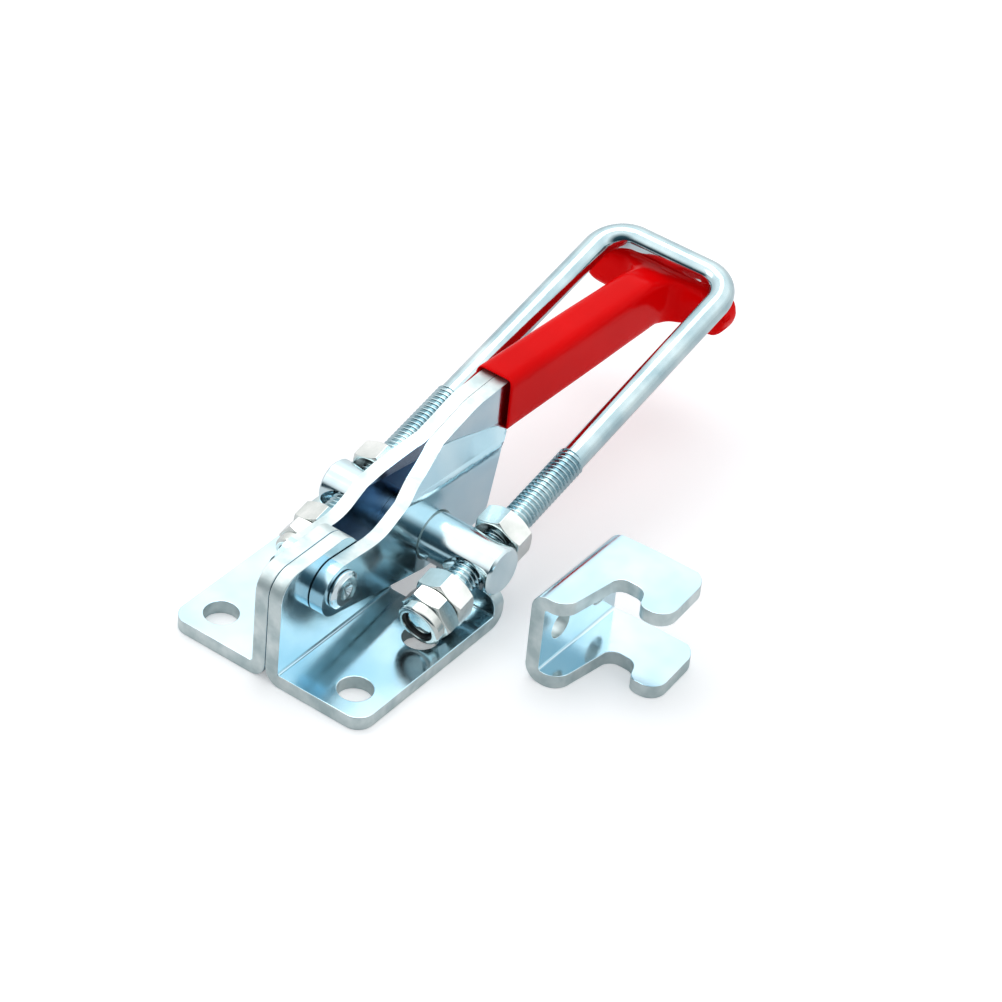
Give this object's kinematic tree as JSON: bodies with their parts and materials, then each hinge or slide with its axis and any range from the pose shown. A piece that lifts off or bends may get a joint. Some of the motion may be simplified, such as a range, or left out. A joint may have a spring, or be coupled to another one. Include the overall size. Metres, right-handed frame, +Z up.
{
  "type": "over_centre_toggle_latch",
  "caption": "Over centre toggle latch: a cranked T handle swings on a folded angle base and draws an adjustable U-bolt tight; a separate notched catch plate takes the bolt's bar",
  "frame": {"origin": "centre of the base's four mounting holes, on the base's underside", "axes": "+X points to the rear, along the handle and the U-bolt; +Y to the latch's left side; +Z up, away from the mounting surface"},
  "size_m": [0.127, 0.0805, 0.0367],
  "materials": {
    "plate": "bright zinc plate",
    "pin": "turned, zinc plated",
    "rod": "drawn, zinc plated",
    "nut": "zinc plated",
    "nylon": "matte",
    "grip": "dipped vinyl, glossy"
  },
  "bodies": {
    "base": {"left_base_plate": "plate", "right_base_plate": "plate", "pivot_rivet": "pin", "catch_plate": "plate"},
    "handle": {"left_handle_plate": "plate", "right_handle_plate": "plate", "grip": "grip"},
    "u_bolt_loop": {"cross_pin": "pin", "u_bolt": "rod", "left_rear_nut": "nut", "right_rear_nut": "nut", "left_front_nut": "nut", "right_front_nut": "nut", "left_lock_nut": "nut", "right_lock_nut": "nut", "left_nylon_ring": "nylon", "right_nylon_ring": "nylon"}
  },
  "joints": [
    {"name": "handle_pivot", "type": "hinge", "parent": "base", "child": "handle", "pos_m": [-0.0029, 0, 0.0172], "axis": [0, -1, 0], "range_deg": [0, 150]},
    {"name": "u_bolt_swing", "type": "hinge", "parent": "handle", "child": "u_bolt_loop", "pos_m": [0.0253, -0.00245, 0.01305], "axis": [0, -1, 0], "range_deg": [0, 37.5]}
  ],
  "couplings": [
    {"joint": "u_bolt_swing", "follows": "handle_pivot", "ratio": 0.25}
  ]
}
